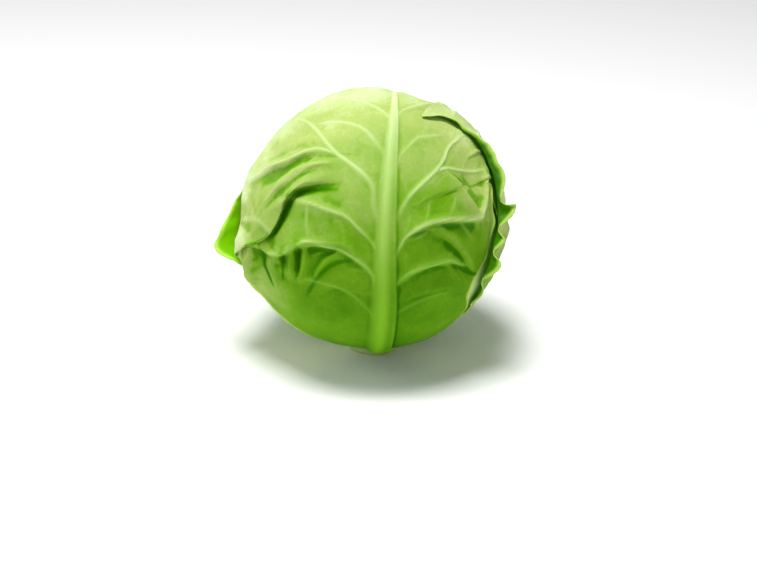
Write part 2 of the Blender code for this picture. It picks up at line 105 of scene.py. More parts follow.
frontLeaf = {
    "node": "front_leaf",
    "azimuth": 8.0,
    "bow": (-3.0, 19.0),
    "seed": 11,
    "grid": (138, 138),
    "left": (
        (baseY, -2, 8, 0, 15, 0),
        (-64, 14, 14, 0.2, 54, 0.6),
        (-42, 20, 12, 0.6, 74, 0.8),
        (-24, 29, 13, 0.75, 80, 1),
        (-8, 31, 14, 1.0, 90, 0.7),
        (2, 40, 17, 1.2, 96, 0),
        (7, 50, 24, 0.5, 98, 0.4),
        (12, 68, 34, 0.2, 97, 1),
        (46, 27, 14, -0.2, 92, 1),
        (66, 24, 14, 0, 78, 0.9),
        (86, 18, 14, 0.1, 60, 0.6),
        (110, 0, 20, 0.3, 38, 0),
    ),
    "right": (
        (baseY, -2, 8, 0, 15, 0),
        (-62, 14, 14, 0.1, 46, 0.5),
        (-38, 14, 12, 0.1, 44, 0.7),
        (-17, 11, 8, 0.1, 57, 0.9),
        (1, 10, 8, 0, 58, 0.8),
        (5, 24, 16, 0, 58.5, 0),
        (9, 36, 24, 0, 58.5, 0),
        (13, 48, 30, 0, 64, 1),
        (42, 22, 14, 0, 74, 0.8),
        (60, 22, 16, 0, 70, 0.9),
        (84, 14, 14, 0.1, 52, 0.6),
        (110, 0, 20, 0.3, 30, 0),
    ),
    # side (-1 left, 1 right): at which row the margin rolls outwards, over how many rows, how far in degrees,
    # and how wide a strip in millimetres
    "rolls": {
        -1: ((2.5, 0.6, 40, 14), (1.3, 0.8, 22, 14)),
        1: ((3.6, 0.25, 34, 5), (4.4, 0.3, 30, 5), (5.4, 0.3, 20, 5), (7.2, 0.35, 22, 5)),
    },
    # side, at which row, over how many rows, and how deep in degrees
    "tears": ((1, 6.0, 0.07, 6.0), (1, 4.85, 0.09, 5.0)),
    "frill": 0.7 * mm,
    # where the midrib's left and right sides begin and end to fall, in its half widths
    "ribSides": ((0.2, 1.5), (0.8, 1.08)),
    # veins: height and half width in millimetres, brightness, and points in degrees
    "veins": (
        (0.8, 2.0, 0.75, ((-5, 12), (-7, 18), (-7, 27), (-10, 32), (-15, 37), (-22, 43), (-27, 49),
                          (-31, 55), (-36, 62), (-43, 69), (-52, 73), (-62, 74))),
        (0.65, 1.7, 0.72, ((0, 42), (-3, 47), (-7, 54), (-11, 58), (-17, 61), (-25, 63), (-34, 64),
                           (-39, 66))),
        (0.8, 1.7, 0.9, ((6, 62), (2, 70), (-5, 77), (-14, 83), (-26, 88))),
        (0.6, 1.1, 0.6, ((-22, 43), (-30, 46), (-36, 46), (-42, 44), (-49, 42), (-58, 40), (-72, 35),
                         (-90, 29))),
        (0.5, 1.0, 0.35, ((-27, 39), (-33, 38), (-40, 35), (-47, 31), (-56, 26), (-66, 18))),
        (0.65, 1.2, 0.62, ((-4, -6), (-8, 3), (-14, 10), (-19, 15), (-27, 18), (-36, 21), (-45, 22),
                           (-52, 20))),
        (0.75, 1.2, 0.75, ((-6, -18), (-9, -10), (-13, -5), (-20, 0), (-26, 2), (-36, 4), (-43, 1),
                           (-52, -4), (-62, -5), (-72, -4))),
        (0.6, 1.1, 0.55, ((-5, -38), (-10, -28), (-18, -19), (-26, -15), (-36, -14), (-48, -18))),
        (0.6, 1.1, 0.5, ((-5, -62), (-12, -50), (-22, -42), (-36, -38), (-50, -38))),
        (0.5, 1.7, 0.6, ((-58, 8), (-66, 11), (-78, 10), (-92, 6))),
        (0.4, 0.9, 0.35, ((-36, 20), (-37, 12), (-35, 4))),
        (0.8, 1.9, 0.8, ((2, 13), (5, 18), (9, 23), (17, 29), (24, 34), (29, 39), (34, 45), (43, 50),
                         (54, 55))),
        (0.6, 1.1, 0.8, ((23, 33), (29, 34), (37, 33), (48, 32), (58, 33))),
        (0.65, 1.0, 1.1, ((1, -3), (5, 5), (11, 9), (18, 11), (27, 11), (37, 10), (43, 10), (48, 14),
                          (51, 19), (55, 25))),
        (0.65, 1.1, 0.75, ((-1, -19), (3, -13), (9, -9), (18, -7), (26, -7), (34, -11), (42, -13))),
        (0.6, 1.1, 0.6, ((-2, -36), (4, -29), (12, -25), (22, -23), (32, -25))),
        (0.6, 1.1, 0.5, ((-3, -60), (6, -48), (18, -42), (34, -42))),
        (0.6, 1.1, 0.5, ((3, 35), (7, 41), (12, 46), (18, 50), (26, 51), (38, 53))),
        (0.7, 1.1, 0.75, ((8, 61), (12, 67), (20, 72), (30, 75), (44, 78))),
    ),
    # folds: height in millimetres, falls off over these millimetres on its left and its right, and its points
    "folds": (
        (3.4, 1.6, 7.0, ((-22, 44), (-35, 45), (-42, 44), (-48, 41), (-59, 40), (-67, 38), (-78, 34))),
        (2.6, 1.6, 5.0, ((-22, 39), (-33, 38), (-41, 36), (-47, 32), (-54, 27), (-62, 18))),
        (1.8, 3.0, 4.0, ((-27, 34), (-37, 30), (-45, 26), (-50, 22), (-57, 17), (-64, 9))),
        (-1.8, 3.5, 3.0, ((-34, 42), (-44, 40), (-54, 35), (-66, 31))),
        (-1.2, 2.5, 2.5, ((-32, 35), (-41, 33), (-49, 28), (-57, 20))),
        (1.2, 3.0, 7.0, ((-22, 48), (-30, 52), (-42, 54), (-58, 51), (-76, 44))),
        (1.4, 6.0, 4.0, ((-8, 3), (-14, 10), (-19, 15), (-27, 18), (-36, 21), (-46, 22))),
        (3.4, 1.5, 5.0, ((-11, -8), (-19, 2), (-27, 3), (-34, 3), (-43, 1), (-54, -5), (-63, -4),
                         (-72, -5), (-84, -4))),
        (2.6, 2.2, 2.6, ((-37, 5), (-38, -2), (-39, -9), (-42, -17))),
        (2.4, 2.2, 2.4, ((-44, 3), (-45, -4), (-46, -12), (-47, -18))),
        (-3.0, 2.0, 2.4, ((-41, 1), (-42, -5), (-42, -12))),
        (-3.0, 2.4, 2.4, ((-50, -3), (-51, -8), (-50, -13))),
        (6.5, 9.0, 9.0, ((-80, 6), (-83, -6), (-84, -18), (-81, -34))),
        (2.6, 7.0, 1.3, ((-21, 1), (-28, -4), (-32, -10), (-34, -16), (-38, -28))),
        (2.2, 6.0, 1.6, ((-38, -24), (-30, -17), (-22, -15), (-12, -19))),
        (2.4, 2.0, 3.0, ((-60, -8), (-52, -8), (-49, -12), (-43, -14), (-34, -17))),
        (3.4, 2.4, 2.4, ((-57, -6), (-58, -12), (-56, -18), (-55, -28))),
        (-2.2, 3.6, 3.6, ((-62, -7), (-65, -13), (-62, -20), (-60, -30))),
        (5.0, 3.0, 3.0, ((-71, -4), (-73, -11), (-77, -20), (-80, -32))),
        (-2.4, 1.8, 2.0, ((-79, -8), (-82, -16), (-86, -28))),
        (3.6, 1.5, 7.0, ((27, 33), (34, 26), (37, 20), (45, 9))),
        (-1.5, 3.0, 3.5, ((38, 32), (42, 24), (46, 13))),
        (2.8, 2.2, 5.0, ((42, 8), (47, 14), (51, 19), (54, 26), (56, 36))),
        (2.0, 5.0, 1.6, ((2, 2), (6, 7), (11, 9), (18, 11), (27, 11), (38, 10), (46, 8))),
        (2.4, 3.5, 2.6, ((16, 9), (26, 3), (32, -3), (38, -10), (43, -18))),
        (-2.2, 3.0, 3.0, ((22, 3), (30, -5), (35, -11), (41, -18))),
        (3.0, 5.0, 1.7, ((0, -20), (3, -14), (10, -9), (18, -7), (29, -8), (36, -12))),
        (2.2, 1.6, 1.6, ((24, -8), (30, -15), (37, -25))),
        (2.2, 1.6, 1.6, ((30, -11), (35, -18), (40, -26))),
        (-3.0, 1.8, 1.8, ((27, -9), (33, -13), (40, -17), (50, -22))),
        (2.6, 6.0, 1.5, ((1, -24), (9, -21), (16, -20), (25, -20), (33, -24), (42, -28))),
        (1.2, 5.0, 2.0, ((12, 19), (22, 23), (34, 25))),
        (1.6, 1.6, 3.0, ((46, 40), (52, 42), (60, 43))),
        (1.6, 1.6, 3.0, ((50, 27), (55, 28), (61, 27))),
        (-2.5, 2.5, 2.2, ((-22, 29), (-31, 28), (-39, 25), (-45, 21), (-49, 14), (-53, 7), (-59, 1))),
        (-1.2, 10.0, 10.0, ((18, 78), (30, 70), (42, 62), (54, 50))),
        (1.8, 24.0, 24.0, ((-40, 100), (-20, 102), (0, 103), (20, 102), (40, 100))),
    ),
    # creaseShade: painted shade along the creases, how much deeper green, half width in millimetres, and
    # points in degrees
    "creaseShade": (
        (0.5, 1.7, ((-23, 27), (-31.5, 26.5), (-39.5, 24.7), (-44.5, 21), (-47.7, 15.5), (-50.7, 9.6),
                    (-55.6, 2.8), (-63, -2.5))),
        (0.4, 1.5, ((-60, 3), (-68, -1), (-75, -4), (-84, -11), (-90, -19))),
        (0.4, 3.0, ((-64, -4), (-65, -10), (-62, -18), (-58, -28))),
        (0.35, 2.2, ((-41, 3), (-42, -3), (-42, -9), (-43, -18))),
        (0.35, 2.2, ((-49, -1), (-50, -6), (-50, -12), (-52, -20))),
        (0.3, 2.2, ((-18, -3), (-26, -6), (-32, -12), (-35, -17), (-40, -26))),
    ),
    # how pale the blade is, from 0 to 1, at places in degrees: partly the leaf's own colour and partly
    # painted light and shade, paler where light falls and darker where shade falls
    "tonesAndShade": (
        (0, 90, 0.85), (-30, 88, 0.85), (30, 85, 0.8), (-60, 70, 0.8), (-20, 66, 0.7), (14, 66, 0.65),
        (36, 66, 0.65), (-45, 50, 0.65), (-80, 45, 0.85), (-90, 20, 0.9), (-85, 0, 0.85), (-70, -15, 0.5),
        (-20, 36, 0.5), (-38, 32, 0.5), (-10, 14, 0.4), (-35, 12, 0.45), (-55, 0, 0.4), (-15, 0, 0.3),
        (-30, -5, 0.2), (-45, -8, 0.25), (-30, -25, 0.1), (14, 20, 0.3), (30, 44, 0.55), (24, 20, 0.35),
        (46, 30, 0.6), (46, 18, 0.6), (18, 0, 0.25), (40, 0, 0.3), (46, 50, 0.7), (10, 44, 0.5),
        (26, -16, 0.15), (6, -25, 0.1), (0, -60, 0.05), (45, -15, 0.2),
    ),
    # the line of the pleat, in degrees
    "lap": ((-24, 30), (-32, 29.5), (-41, 27.5), (-47, 23), (-50.5, 17), (-53.5, 11), (-58, 5), (-65, 0),
            (-75, -5), (-88, -16)),
}

leftLeaf = {
    "node": "left_leaf",
    "azimuth": -134.0,
    "bow": (0.0, 0.0),
    "seed": 23,
    "grid": (116, 120),
    "left": (
        (baseY, -2, 8, 0, 16, 0),
        (-64, 16, 16, 0.1, 46, 0.6),
        (-46, 24, 16, 0.2, 66, 1),
        (-31, 24, 18, 0.25, 78, 1),
        (-17, 24, 20, 0.25, 82, 1),
        (-5, 18, 20, 0.25, 78, 1),
        (6, 12, 18, 0.2, 66, 1),
        (15, 5, 16, 0.15, 50, 0.7),
        (26, -4, 16, 0.1, 34, 0),
    ),
    "right": (
        (baseY, -2, 8, 0, 16, 0),
        (-62, 12, 16, 0.1, 44, 0.6),
        (-46, 14, 16, 0.1, 45, 1),
        (-32, 16, 18, 0.1, 54, 1),
        (-19, 18, 18, 0.1, 44, 1),
        (-8, 18, 16, 0, 33, 1),
        (3, 16, 14, 0, 19, 1),
        (13, 10, 10, 0, 11, 0.7),
        (24, 2, 8, 0, 8, 0),
    ),
    "rolls": {
        -1: ((5.5, 1.2, 35, 12), (3.2, 0.7, 25, 12), (1.8, 0.5, 35, 12)),
        1: ((3.2, 0.22, 78, 17), (3.6, 0.35, 58, 17), (4.2, 0.35, 36, 14), (2.2, 0.3, 8, 10)),
    },
    "frill": 1.4 * mm,
    # paleness partly the leaf's own colour and partly painted light and shade
    "tonesAndShade": (
        (0, 22, 0.65), (-30, 5, 0.55), (-60, -5, 0.5), (30, -5, 0.5), (0, -20, 0.4), (-40, -30, 0.35),
        (36, -35, 0.35), (0, -65, 0.2),
    ),
}

rightLeaf = {
    "node": "right_leaf",
    "azimuth": 128.0,
    "bow": (0.0, 0.0),
    "seed": 37,
    "grid": (120, 124),
    "left": (
        (baseY, -2, 8, 0, 16, 0),
        (-62, 14, 16, 0.1, 58, 0.6),
        (-46, 20, 16, 0.2, 72, 1),
        (-30, 22, 18, 0.15, 74, 1),
        (-12, 20, 18, 0.15, 64, 1),
        (2, 24, 18, 0, 51, 1),
        (15, 25, 16, 0, 39, 1),
        (28, 27, 14, 0, 28, 0.7),
        (42, 43, 30, 0, 25, 0),
    ),
    "right": (
        (baseY, -2, 8, 0, 16, 0),
        (-64, 16, 16, 0.1, 44, 0.6),
        (-46, 24, 16, 0.2, 70, 1),
        (-28, 26, 18, 0.25, 84, 1),
        (-12, 26, 20, 0.25, 88, 1),
        (4, 24, 20, 0.25, 84, 1),
        (16, 16, 18, 0.25, 72, 1),
        (29, 6, 16, 0.2, 56, 0.7),
        (42, -4, 20, 0.1, 38, 0),
    ),
    "rolls": {
        -1: ((7.4, 0.5, 25, 3), (6.4, 0.6, 62, 5), (5.5, 0.5, 88, 9), (4.9, 0.3, 66, 11),
             (4.3, 0.14, 120, 14), (3.75, 0.2, 60, 13), (3.1, 0.3, 90, 13), (2.2, 0.4, 40, 12)),
        1: ((4.5, 1.4, 35, 12), (2.6, 0.6, 25, 12)),
    },
    "frill": 1.2 * mm,
    "folds": ((-1.6, 12.0, 12.0, ((-30, 78), (-20, 68), (-12, 58), (-8, 46), (-8, 32))),),
    # paleness partly the leaf's own colour and partly painted light and shade
    "tonesAndShade": (
        (-38, 30, 0.9), (-36, 12, 0.85), (-46, 0, 0.7), (-56, -20, 0.4), (-62, -40, 0.3), (0, 40, 0.75),
        (-18, 20, 0.6), (-25, -10, 0.45), (0, -20, 0.4), (30, 10, 0.5), (40, -20, 0.4), (60, 10, 0.55),
        (0, -60, 0.2),
    ),
}

backHalf = (
    (baseY, -2, 8, 0, 15, 0),
    (-62, 14, 14, 0.1, 40, 0.6),
    (-44, 20, 14, 0.2, 72, 1),
    (-26, 26, 18, 0.25, 92, 1),
    (-8, 28, 20, 0.25, 98, 1),
    (10, 30, 22, 0.25, 96, 1),
    (28, 26, 18, 0.3, 88, 1),
    (48, 16, 14, 0.3, 72, 0.7),
    (70, 2, 20, 0.35, 50, 0),
)
backLeaf = {
    "node": "back_leaf",
    "azimuth": 176.0,
    "bow": (2.0, -5.0),
    "seed": 3,
    "grid": (108, 112),
    "left": backHalf,
    "right": backHalf,
    "rolls": {-1: ((4.0, 1.0, 2, 8),), 1: ((4.0, 1.0, 2, 8),)},
    "frill": 0.2 * mm,
}


def leafAxes(azimuth, polar=ball["leafPolar"]):
    a, p = math.radians(azimuth), math.radians(polar)
    outward, top = np.array((math.sin(a), -math.cos(a), 0.0)), np.array((0.0, 0.0, 1.0))
    right = np.array((math.cos(a), math.sin(a), 0.0))
    return math.sin(p) * outward + math.cos(p) * top, right, math.sin(p) * top - math.cos(p) * outward


def direction(axes, x, y):
    middle, right, up = axes
    arc, turn = np.radians(np.hypot(x, y)), np.arctan2(y, x)
    side = np.cos(turn)[..., None] * right + np.sin(turn)[..., None] * up
    return np.cos(arc)[..., None] * middle + np.sin(arc)[..., None] * side


def midrib(y):  # half width and height of the midrib at a place along it
    along = (y - baseY) / 200.0
    return (9.8 - 8.2 * along) * mm, (3.6 * np.exp(-along * 3.2) + 0.8) * mm


def layOut(leaf, row, share):
    # share runs from 0 at the middle, over 1 at the midrib's edge, to 2 at the margin, and is negative left
    left, right = (through(leaf[side], row) for side in ("left", "right"))
    half = np.where((share < 0)[..., None], left, right)
    middle = 0.5 * (left[..., 0] + right[..., 0])
    start, climb, run, slope, reach, _ = np.moveaxis(half, -1, 0)
    width = midrib(middle)[0] / arcLength
    ragged = np.interp(row, np.linspace(0, 12, 97), np.random.default_rng(leaf["seed"]).normal(0, 0.35, 97))
    reach = reach + ragged + np.where(share < 0, 0.5, -0.5) * np.sin(row * 5.1 + leaf["seed"])
    for side, at, spread, cut in leaf.get("tears", ()):
        reach = reach - cut * np.exp(-(((row - at) / spread) ** 2)) * (np.sign(share) == side)
    out = width * np.minimum(np.abs(share), 1.0) + (reach - width) * np.maximum(np.abs(share) - 1.0, 0.0)
    start = middle + (start - middle) * ease(0.0, 6.0, out)
    beyond = np.maximum(out - width * 0.6, 0.0)
    y = start + climb * (1 - np.exp(-beyond / run)) - slope * 8.0 * np.log1p(np.exp((out - 38.0) / 8.0))
    begin, bend = leaf["bow"]
    bow = begin + bend * (np.clip(y + 10.0, 0.0, 110.0) / 97.0) ** 1.9
    return np.sign(share) * out + bow, y, (reach - out) * arcLength, np.sign(share) * out * arcLength


def gridOf(leaf):  # rows and shares of the outer grid, spread evenly over the leaf
    rowCells, columnCells = leaf["grid"]
    last = len(leaf["left"]) - 1
    fine = np.linspace(0.0, last, 60 * last + 1)
    spread = 0.0
    for share in (-1.9, -1.5, -1.1, 1.1, 1.5, 1.9):
        x, y = layOut(leaf, fine, np.full(len(fine), share))[:2]
        spread = spread + np.hypot(np.diff(x), np.diff(y))
    length = np.insert(np.cumsum(spread), 0, 0.0)
    rows = np.interp(np.linspace(0.0, 1.0, 2 * rowCells + 1), length / length[-1], fine)
    ribCells = 12
    side = np.linspace(0.0, 1.0, ribCells, endpoint=False)
    side = np.concatenate((side, np.linspace(1.0, 2.0, columnCells - ribCells + 1)))
    return np.meshgrid(rows, np.concatenate((-side[:0:-1], side)), indexing="ij")


class Line:  # a smooth line on a leaf's flat layout, and how points lie to it, in millimetres
    def __init__(self, points, closeness=12):
        points = np.array(points, float)
        self.path = through(points, np.linspace(0, len(points) - 1, closeness * (len(points) - 1) + 1))
        self.path *= arcLength / mm
        tangent = np.gradient(self.path, axis=0)
        self.tangent = tangent / np.linalg.norm(tangent, axis=1)[:, None]
        steps = np.linalg.norm(np.diff(self.path, axis=0), axis=1)
        self.along = np.insert(np.cumsum(steps), 0, 0.0)
        self.share = self.along / self.along[-1]

    def near(self, flat, reach):  # points within reach, how far left, how far off, and the nearest place
        low, high = self.path.min(axis=0) - reach, self.path.max(axis=0) + reach
        where = np.flatnonzero(((flat > low) & (flat < high)).all(axis=-1))
        if not len(where):
            return where, np.zeros(0), np.zeros(0), where
        away = flat[where][:, None, :] - self.path
        nearest = np.argmin((away**2).sum(-1), axis=1)
        offset = away[np.arange(len(where)), nearest]
        tangent = self.tangent[nearest]
        left = tangent[:, 0] * offset[:, 1] - tangent[:, 1] * offset[:, 0]
        past = (offset * tangent).sum(axis=1) * ((nearest == 0) | (nearest == len(self.path) - 1))
        return where, left, np.hypot(left, past), nearest


def rowVeins(leaf):  # a leaf's side veins along its rows, with branches that climb from each to the next
    veins = []
    for side in ("left", "right"):
        sign = -1.0 if side == "left" else 1.0
        for number, vein in enumerate(leaf[side]):
            if vein[5] > 0:
                shares = np.linspace(1.0, 1.93, 9)
                points = np.stack(layOut(leaf, np.full(9, float(number)), sign * shares)[:2], -1)
                veins.append((0.9 * vein[5], 1.3, 0.8 * vein[5], points))
    return veins


def branches(leaf, veins):  # finer veins that leave each vein on both sides in turn
    draw = np.random.default_rng(leaf["seed"] + 100)
    made = []
    for height, width, brightness, points in veins:
        line = Line(points, 6)
        length = line.along[-1]
        at, side = draw.uniform(5.0, 9.0), draw.choice((-1.0, 1.0))
        while at < length - 5.0:
            i = int(np.searchsorted(line.along, at))
            angle = math.atan2(line.tangent[i, 1], line.tangent[i, 0])
            place, heading = line.path[i].copy(), angle + side * draw.uniform(0.55, 0.8)
            reach = draw.uniform(12.0, 24.0) * (1.0 - 0.4 * at / length)
            run = [place.copy()]
            for _ in range(4):
                heading += draw.normal(0.0, 0.22) - side * 0.08
                place += reach / 4 * np.array((math.cos(heading), math.sin(heading)))
                run.append(place.copy())
            share = 0.3 + 0.4 * brightness
            made.append((0.25 * height, 0.7, 0.28 * share * brightness, np.array(run) * mm / arcLength))
            at, side = at + draw.uniform(5.0, 10.0), -side
    return made


def drawVeins(flat, veins):  # height of the ridges and how pale they are, over points in millimetres
    height, pale = np.zeros(len(flat)), np.zeros(len(flat))
    for tall, width, brightness, points in veins:
        line = Line(points)
        where, _, away, nearest = line.near(flat, 4.5 * width + 6.0)
        along = line.share[nearest]
        thin = np.maximum(width * (1.0 - 0.45 * along), 0.92)
        fade = (1.0 - ease(0.72, 1.0, along)) * (0.6 + 0.4 * ease(0.0, 0.1, along))
        body = np.maximum(thin, 1.35)
        ridge = tall * fade * (np.exp(-((away / body) ** 2)) + 0.35 * np.exp(-((away / (3.5 * thin)) ** 2)))
        height[where] = np.maximum(height[where], ridge)
        glow = 0.85 * np.exp(-((away / (0.85 * thin)) ** 2)) + 0.15 * np.exp(-((away / (3.0 * thin)) ** 2))
        pale[where] = np.maximum(pale[where], brightness * fade * glow)
    return height, pale


def drawFolds(flat, folds):
    height = np.zeros(len(flat))
    for tall, leftFall, rightFall, points in folds:
        line, reach = Line(points), 4.0 * max(leftFall, rightFall)
        where, left, away, nearest = line.near(flat, reach)
        along = line.share[nearest]
        fall = np.where(left > 0, leftFall, rightFall)
        steep = 1.15 * away / fall
        crest = 0.6 if tall > 0 else 0.2  # how broad the top of a fold is
        slope = np.exp(-(steep**2) / (crest + steep)) * (1 - ease(0.5, 1.0, away / reach))
        height[where] += tall * slope * np.sin(math.pi * np.clip(along, 0.02, 0.98)) ** 0.6
    return height


lap = {"overlap": 3.4, "width": 3.0, "height": 2.5, "decay": 18.0}  # millimetres


def pleat(leaf, x, y, sheet):  # draws the leaf above a lap over the leaf below it
    if "lap" not in leaf:
        return x, y, sheet
    line = Line(leaf["lap"])
    flat = np.stack((x, y), -1).reshape(-1, 2) * arcLength / mm
    where, left, _, nearest = line.near(flat, 90.0)
    above, share = -left, line.share[nearest]
    offCourse = (flat[where] - line.path[nearest]) * line.tangent[nearest]
    beside = np.exp(-((np.abs(offCourse.sum(axis=1)) / 6.0) ** 2))  # dies away past the line's ends
    drawn, raised = ease(0.04, 0.3, share) * beside, ease(0.0, 0.18, share) * beside
    shift = -lap["overlap"] * above / lap["width"] * np.exp(0.5 - 0.5 * (above / lap["width"]) ** 2) * drawn
    step = 0.5 * (1 + np.tanh(above / (0.4 * lap["width"])))
    lift = lap["height"] * step * np.exp(-((np.maximum(above, 0.0) / lap["decay"]) ** 2)) * raised
    normal = np.stack((line.tangent[nearest, 1], -line.tangent[nearest, 0]), -1)
    flat[where] += shift[:, None] * normal
    sheet = sheet.reshape(-1).copy()
    sheet[where] += lift * mm
    flat = (flat * mm / arcLength).reshape(x.shape + (2,))
    return flat[..., 0], flat[..., 1], sheet.reshape(x.shape)


slightest = {"angle": 0.02, "strip": 8}  # the least curl of a margin: radians, and millimetres wide


def roll(leaf, row, share, x, y, edge):  # curls the margin outwards: new places on the flat, and the lift
    lift = np.zeros(x.shape)
    dx, dy = (np.gradient(v, axis=1) * np.sign(share) for v in (x, y))
    size = np.hypot(dx, dy) + 1e-9
    for side, curls in leaf["rolls"].items():
        angle, depth = slightest["angle"], slightest["angle"] * slightest["strip"] * mm
        for at, spread, most, strip in curls:
            here = math.radians(most) * np.exp(-(((row - at) / spread) ** 2))
            angle, depth = angle + here, depth + here * strip * mm
        depth, angle = depth / angle, angle * (np.sign(share) == side)
        within = np.maximum(depth - edge, 0.0)
        bend = angle * within / depth * (within / depth) ** 0.4  # tighter towards the margin
        bent = bend > 1e-4
        radius = np.where(bent, within / np.where(bent, bend, 1.0), 0.0)
        lift += np.where(bent, radius * (1 - np.cos(bend)), 0.0)
        short = np.where(bent, within - radius * np.sin(bend), 0.0)
        x = x - short * dx / size / arcLength
        y = y - short * dy / size / arcLength
    return x, y, lift


def envelope(axes, under):  # how far from the centre a smooth sheet over what lies under a leaf is
    reach, step = 132.0, 2.0  # degrees
    ticks = np.arange(-reach, reach + step, step)
    rays = direction(axes, *np.meshgrid(ticks, ticks))
    radius = depthOf(under, rays)
    size = len(ticks)
    for blend in (np.max, np.max, np.mean, np.mean, np.mean):
        padded = np.pad(radius, 1, mode="edge")
        radius = blend([padded[i : i + size, j : j + size] for i in range(3) for j in range(3)], axis=0)

    def read(x, y):  # a cubic spline over the grid
        across, up = (np.clip((v + reach) / step, 1.0, size - 2.001) for v in (x, y))
        i, j = np.floor(up).astype(int), np.floor(across).astype(int)
        total = 0.0
        for a, shareUp in enumerate(splineShares(up - i)):
            for b, shareAcross in enumerate(splineShares(across - j)):
                near = np.minimum(i + a - 1, size - 1), np.minimum(j + b - 1, size - 1)
                total = total + shareUp * shareAcross * radius[near]
        return total

    return read


def splineShares(t):
    return (1 - t) ** 3 / 6, (3 * t**3 - 6 * t**2 + 4) / 6, (-3 * t**3 + 3 * t**2 + 3 * t + 1) / 6, t**3 / 6


def depthOf(under, rays):
    centre = Vector(ballCentre)
    radius = np.full(rays.shape[:-1], ball["radius"])
    for index in np.ndindex(radius.shape):
        ray = Vector(rays[index])
        hit = under.ray_cast(centre + ray * 0.2, -ray)[0]
        if hit is not None:
            radius[index] = (hit - centre).length
    return radius


def normalsOf(points):
    normals = np.cross(np.gradient(points, axis=1), np.gradient(points, axis=0))
    return normals / (np.linalg.norm(normals, axis=-1, keepdims=True) + 1e-12)


laid = {"points": [], "faces": [], "count": 0}  # the outsides of the pieces so far


def lay(points, faces):
    laid["faces"] += [tuple(int(i) + laid["count"] for i in face) for face in faces]
    laid["points"] += [Vector(p) for p in points]
    laid["count"] += len(points)


def quads(rows, columns, start=0):
    index = np.arange(rows * columns).reshape(rows, columns) + start
    return np.stack((index[:-1, :-1], index[:-1, 1:], index[1:, 1:], index[1:, :-1]), -1).reshape(-1, 4)


def ringOf(rows, columns, start=0):
    index = np.arange(rows * columns).reshape(rows, columns) + start
    return [*index[0, :-1], *index[:-1, -1], *index[-1, :0:-1], *index[:0:-1, 0]]


def closedSheet(outer, inner):  # a fine outer grid, an inner grid of every other point, and the rim between
    fine, coarse = outer.shape[:2], inner.shape[:2]
    start = fine[0] * fine[1]
    outerRing, innerRing = ringOf(*fine), ringOf(*coarse, start)
    outerRing.append(outerRing[0])
    faces = quads(*fine).tolist() + quads(*coarse, start)[:, ::-1].tolist()
    for k, here in enumerate(innerRing):
        there = innerRing[(k + 1) % len(innerRing)]
        one, two, three = outerRing[2 * k : 2 * k + 3]
        faces += [(two, one, here), (two, here, there), (three, two, there)]
    return np.concatenate((outer.reshape(-1, 3), inner.reshape(-1, 3))), faces


def addPiece(name, points, faces, facts, material, slot):
    mesh = bpy.data.meshes.new(name)
    mesh.from_pydata([tuple(p) for p in points.tolist()], [], [tuple(int(i) for i in f) for f in faces])
    mesh.shade_smooth()
    for fact, values in facts.items():
        kind, key = ("FLOAT_VECTOR", "vector") if values.ndim == 2 else ("FLOAT", "value")
        mesh.attributes.new(fact, kind, "POINT").data.foreach_set(key, values.astype(np.float32).ravel())
    mesh.materials.append(material)
    piece = bpy.data.objects.new(name, mesh)
    bpy.context.scene.collection.objects.link(piece)
    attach(piece, "root")
    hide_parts(slot)
    print(name, len(mesh.vertices), "points")


def bothFaces(grid):  # values at the outer face's points, then at the inner face's, which are every other one
    tail = grid.shape[2:]
    return np.concatenate((grid.reshape((-1,) + tail), grid[::2, ::2].reshape((-1,) + tail)))


def keepClear(radius, rays, blade, under):  # raises a leaf where it comes too near what lies under
    below = depthOf(under, rays[::2, ::2]) + 0.5 * ball["gap"]
    rows, columns = below.shape
    for _ in range(2):
        short = np.maximum(below - (radius - blade)[::2, ::2], 0.0)
        padded = np.pad(short, 2, mode="edge")
        short = np.max([padded[i : i + rows, j : j + columns] for i in range(5) for j in range(5)], axis=0)
        fine = np.repeat(np.repeat(blurred(short, 2), 2, axis=0), 2, axis=1)
        radius = radius + blurred(fine[: radius.shape[0], : radius.shape[1]], 1)
    return radius


# what the four leaves share, in millimetres
leafSheet = {
    "marginThickness": 0.55,
    "thicker": 0.4,  # by this much, this far in from the margin
    "thickerFrom": 8,
    "rise": 0.9,  # off what lies under it
    "swelling": 0.55,
    # height and size of each kind of soft bump
    "swells": ((1.3, 46.0), (0.75, 21.0)),
    "puckers": ((0.38, 9.0), (0.16, 4.5)),
    "hugFrom": 16,  # the margin hugs what lies under it, from this far in
    "frillFrom": 11,
    # what counts as a hollow: compared over how many points around, and how deep
    "hollows": ((2, 0.6), (4, 1.6), (11, 5.0)),
}


